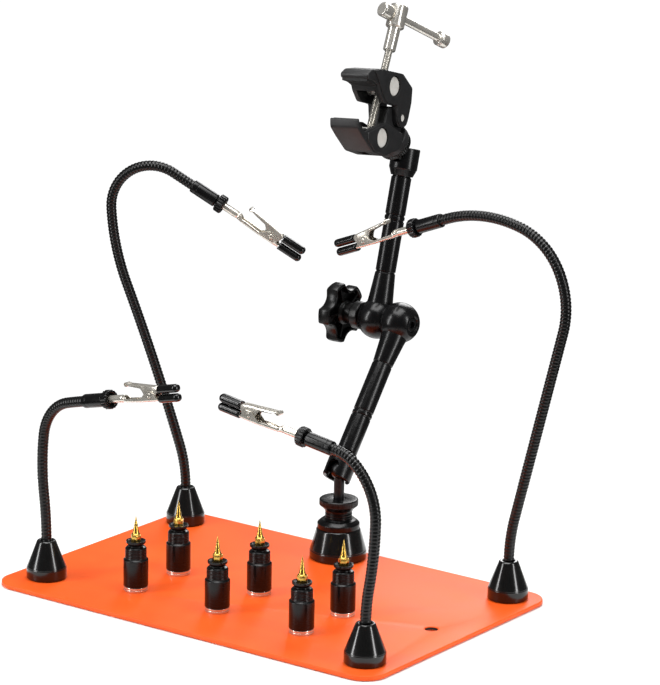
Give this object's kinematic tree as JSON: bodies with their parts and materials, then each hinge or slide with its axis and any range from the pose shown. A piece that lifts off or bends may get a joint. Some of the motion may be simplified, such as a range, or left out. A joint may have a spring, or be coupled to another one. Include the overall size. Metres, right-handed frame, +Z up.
{
  "type": "helping hands soldering station",
  "caption": "Steel plate with magnetic flexible clip arms, board posts and a jointed stand carrying a small screw clamp.",
  "frame": {"origin": "centre of the plate's underside", "axes": "+X along the plate's long side towards the hanging hole, +Y from the front row of posts towards the jointed stand, +Z up from the plate"},
  "size_m": [0.3532, 0.3123, 0.3602],
  "materials": {
    "plate_powder_coat": "fine orange powder coat",
    "turned_brass": "turned, bright",
    "post_anodised": "black anodised, satin",
    "foot_black": "gloss black",
    "neck_black": "black oxide spiral hose, satin",
    "collar_black": "black anodised",
    "clip_nickel": "bright nickel plate on pressed steel",
    "magnet_nickel": "nickel plate",
    "arm_anodised": "black anodised, satin",
    "stud_black_steel": "black oxide",
    "knob_plastic": "moulded, satin",
    "jaw_black_paint": "black paint on die casting, satin",
    "nut_steel": "turned face, matt",
    "screw_nickel": "bright nickel plate"
  },
  "bodies": {
    "plate": {"base_plate": "plate_powder_coat"},
    "board_post_1": {"post_1": "post_anodised", "post_tip_1": "turned_brass"},
    "board_post_2": {"post_2": "post_anodised", "post_tip_2": "turned_brass"},
    "board_post_3": {"post_3": "post_anodised", "post_tip_3": "turned_brass"},
    "board_post_4": {"post_4": "post_anodised", "post_tip_4": "turned_brass"},
    "board_post_5": {"post_5": "post_anodised", "post_tip_5": "turned_brass"},
    "board_post_6": {"post_6": "post_anodised", "post_tip_6": "turned_brass"},
    "arm_1_foot": {"foot_1": "foot_black", "neck_lower_1": "neck_black"},
    "arm_1_neck": {"neck_upper_1": "neck_black", "collar_1": "collar_black"},
    "arm_1_clip": {"clip_base_1": "clip_nickel"},
    "arm_1_lever": {"clip_lever_1": "clip_nickel"},
    "arm_2_foot": {"foot_2": "foot_black", "neck_lower_2": "neck_black"},
    "arm_2_neck": {"neck_upper_2": "neck_black", "collar_2": "collar_black"},
    "arm_2_clip": {"clip_base_2": "clip_nickel"},
    "arm_2_lever": {"clip_lever_2": "clip_nickel"},
    "arm_3_foot": {"foot_3": "foot_black", "neck_lower_3": "neck_black"},
    "arm_3_neck": {"neck_upper_3": "neck_black", "collar_3": "collar_black"},
    "arm_3_clip": {"clip_base_3": "clip_nickel"},
    "arm_3_lever": {"clip_lever_3": "clip_nickel"},
    "arm_4_foot": {"foot_4": "foot_black", "neck_lower_4": "neck_black"},
    "arm_4_neck": {"neck_upper_4": "neck_black", "collar_4": "collar_black"},
    "arm_4_clip": {"clip_base_4": "clip_nickel"},
    "arm_4_lever": {"clip_lever_4": "clip_nickel"},
    "stand": {"stand_foot": "arm_anodised", "stand_magnet": "magnet_nickel", "stand_cap": "arm_anodised", "lower_ball_stud": "stud_black_steel"},
    "lower_wheel": {"lower_lock_wheel": "arm_anodised"},
    "lower_arm": {"lower_socket": "arm_anodised", "lower_tube": "arm_anodised", "lower_elbow": "arm_anodised", "elbow_bolt": "stud_black_steel"},
    "knob": {"elbow_knob": "knob_plastic"},
    "upper_arm": {"upper_elbow": "arm_anodised", "upper_tube": "arm_anodised", "upper_socket": "arm_anodised"},
    "top_stud": {"upper_ball_stud": "stud_black_steel"},
    "upper_wheel": {"upper_lock_wheel": "arm_anodised"},
    "clamp_base": {"clamp_lower_jaw": "jaw_black_paint", "clamp_hinge_pin": "nut_steel"},
    "clamp_jaw": {"clamp_upper_jaw": "jaw_black_paint"},
    "lower_nut": {"lower_barrel_nut": "nut_steel"},
    "upper_nut": {"upper_barrel_nut": "nut_steel"},
    "screw": {"clamp_screw": "screw_nickel"},
    "bar": {"handle_bar": "screw_nickel"}
  },
  "joints": [
    {"name": "post_1_slide", "type": "slide", "parent": "plate", "child": "board_post_1", "axis": [0, 1, 0], "range_m": [-0.02, 0.02]},
    {"name": "post_2_slide", "type": "slide", "parent": "plate", "child": "board_post_2", "axis": [0, 1, 0], "range_m": [-0.02, 0.02]},
    {"name": "post_3_slide", "type": "slide", "parent": "plate", "child": "board_post_3", "axis": [0, 1, 0], "range_m": [-0.02, 0.02]},
    {"name": "post_4_slide", "type": "slide", "parent": "plate", "child": "board_post_4", "axis": [0, 1, 0], "range_m": [-0.02, 0.02]},
    {"name": "post_5_slide", "type": "slide", "parent": "plate", "child": "board_post_5", "axis": [0, 1, 0], "range_m": [-0.02, 0.02]},
    {"name": "post_6_slide", "type": "slide", "parent": "plate", "child": "board_post_6", "axis": [0, 1, 0], "range_m": [-0.02, 0.02]},
    {"name": "arm_1_swivel", "type": "hinge", "parent": "plate", "child": "arm_1_foot", "pos_m": [-0.127, -0.0723, 0.003], "axis": [0, 0, 1], "range_deg": [-25, 25]},
    {"name": "arm_1_bend", "type": "hinge", "parent": "arm_1_foot", "child": "arm_1_neck", "pos_m": [-0.12908, -0.07205, 0.09807], "axis": [0.1219, 0.9925, 0], "range_deg": [-25, 25]},
    {"name": "clip_1_roll", "type": "hinge", "parent": "arm_1_neck", "child": "arm_1_clip", "pos_m": [-0.06614, -0.07977, 0.13426], "axis": [0.9631, -0.1182, 0.2419], "range_deg": [-90, 90]},
    {"name": "clip_1_open", "type": "hinge", "parent": "arm_1_clip", "child": "arm_1_lever", "pos_m": [-0.03007, -0.0842, 0.14435], "axis": [-0.1219, -0.9925, 0], "range_deg": [0, 18], "stiffness_Nm_per_rad": 0.15, "springref_deg": -17.19},
    {"name": "arm_2_swivel", "type": "hinge", "parent": "plate", "child": "arm_2_foot", "pos_m": [-0.1316, 0.0774, 0.003], "axis": [0, 0, 1], "range_deg": [-25, 25]},
    {"name": "arm_2_bend", "type": "hinge", "parent": "arm_2_foot", "child": "arm_2_neck", "pos_m": [-0.1704, 0.06172, 0.16657], "axis": [-0.3746, 0.9272, 0], "range_deg": [-25, 25]},
    {"name": "clip_2_roll", "type": "hinge", "parent": "arm_2_neck", "child": "arm_2_clip", "pos_m": [-0.10801, 0.08693, 0.22453], "axis": [0.803, 0.3244, -0.5], "range_deg": [-90, 90]},
    {"name": "clip_2_open", "type": "hinge", "parent": "arm_2_clip", "child": "arm_2_lever", "pos_m": [-0.07727, 0.09935, 0.20654], "axis": [0.3746, -0.9272, 0], "range_deg": [0, 18], "stiffness_Nm_per_rad": 0.15, "springref_deg": -17.19},
    {"name": "arm_3_swivel", "type": "hinge", "parent": "plate", "child": "arm_3_foot", "pos_m": [0.1289, -0.0763, 0.003], "axis": [0, 0, 1], "range_deg": [-25, 25]},
    {"name": "arm_3_bend", "type": "hinge", "parent": "arm_3_foot", "child": "arm_3_neck", "pos_m": [0.13474, -0.0763, 0.09096], "axis": [0, -1, 0], "range_deg": [-25, 25]},
    {"name": "clip_3_roll", "type": "hinge", "parent": "arm_3_neck", "child": "arm_3_clip", "pos_m": [0.07772, -0.0763, 0.13605], "axis": [-0.9877, 0, 0.1564], "range_deg": [-90, 90]},
    {"name": "clip_3_open", "type": "hinge", "parent": "arm_3_clip", "child": "arm_3_lever", "pos_m": [0.04064, -0.0763, 0.14294], "axis": [0, 1, 0], "range_deg": [0, 18], "stiffness_Nm_per_rad": 0.15, "springref_deg": -17.19},
    {"name": "arm_4_swivel", "type": "hinge", "parent": "plate", "child": "arm_4_foot", "pos_m": [0.1291, 0.0799, 0.003], "axis": [0, 0, 1], "range_deg": [-25, 25]},
    {"name": "arm_4_bend", "type": "hinge", "parent": "arm_4_foot", "child": "arm_4_neck", "pos_m": [0.16408, 0.0799, 0.18315], "axis": [0, -1, 0], "range_deg": [-25, 25]},
    {"name": "clip_4_roll", "type": "hinge", "parent": "arm_4_neck", "child": "arm_4_clip", "pos_m": [0.04809, 0.0799, 0.23263], "axis": [-0.9336, 0, -0.3584], "range_deg": [-90, 90]},
    {"name": "clip_4_open", "type": "hinge", "parent": "arm_4_clip", "child": "arm_4_lever", "pos_m": [0.01253, 0.0799, 0.22006], "axis": [0, 1, 0], "range_deg": [0, 18], "stiffness_Nm_per_rad": 0.15, "springref_deg": -17.19},
    {"name": "stand_swivel", "type": "hinge", "parent": "plate", "child": "stand", "pos_m": [-0.0054, 0.0804, 0.003], "axis": [0, 0, 1], "range_deg": [-25, 25]},
    {"name": "lower_wheel_turn", "type": "hinge", "parent": "stand", "child": "lower_wheel", "pos_m": [-0.0054, 0.0804, 0.039], "axis": [0, 0, 1], "range_deg": [-90, 90]},
    {"name": "lower_tilt", "type": "hinge", "parent": "stand", "child": "lower_arm", "pos_m": [-0.0054, 0.0804, 0.0628], "axis": [1, 0, 0], "range_deg": [-15, 20]},
    {"name": "knob_turn", "type": "hinge", "parent": "lower_arm", "child": "knob", "pos_m": [-0.0414, 0.146, 0.14985], "axis": [1, 0, 0], "continuous": true},
    {"name": "elbow_fold", "type": "hinge", "parent": "lower_arm", "child": "upper_arm", "pos_m": [-0.0234, 0.146, 0.14985], "axis": [1, 0, 0], "range_deg": [-30, 30]},
    {"name": "top_tilt", "type": "hinge", "parent": "upper_arm", "child": "top_stud", "pos_m": [-0.0234, 0.17403, 0.25519], "axis": [1, 0, 0], "range_deg": [-15, 15]},
    {"name": "upper_wheel_turn", "type": "hinge", "parent": "top_stud", "child": "upper_wheel", "pos_m": [-0.0234, 0.16195, 0.26568], "axis": [0, -0.7549, 0.6559], "range_deg": [-90, 90]},
    {"name": "clamp_swivel", "type": "hinge", "parent": "top_stud", "child": "clamp_base", "pos_m": [-0.0234, 0.15515, 0.27158], "axis": [0, -0.7549, 0.6559], "range_deg": [-30, 30]},
    {"name": "jaw_open", "type": "hinge", "parent": "clamp_base", "child": "clamp_jaw", "pos_m": [-0.02428, 0.1552, 0.28491], "axis": [-0.9962, -0.0572, -0.0658], "range_deg": [-10, 12]},
    {"name": "lower_nut_turn", "type": "hinge", "parent": "clamp_base", "child": "lower_nut", "pos_m": [-0.02221, 0.12976, 0.27558], "axis": [-0.9962, -0.0572, -0.0658], "range_deg": [-5, 6]},
    {"name": "upper_nut_turn", "type": "hinge", "parent": "clamp_jaw", "child": "upper_nut", "pos_m": [-0.02527, 0.14697, 0.30707], "axis": [-0.9962, -0.0572, -0.0658], "range_deg": [-7.5, 6.5]},
    {"name": "screw_turn", "type": "hinge", "parent": "upper_nut", "child": "screw", "pos_m": [-0.02527, 0.14697, 0.30707], "axis": [-0.0852, 0.4778, 0.8743], "continuous": true},
    {"name": "bar_slide", "type": "slide", "parent": "screw", "child": "bar", "axis": [0.2652, 0.8568, -0.4423], "range_m": [-0.031, 0]}
  ],
  "couplings": [
    {"joint": "lower_nut_turn", "follows": "jaw_open", "ratio": 0.437},
    {"joint": "upper_nut_turn", "follows": "jaw_open", "ratio": -0.563}
  ]
}
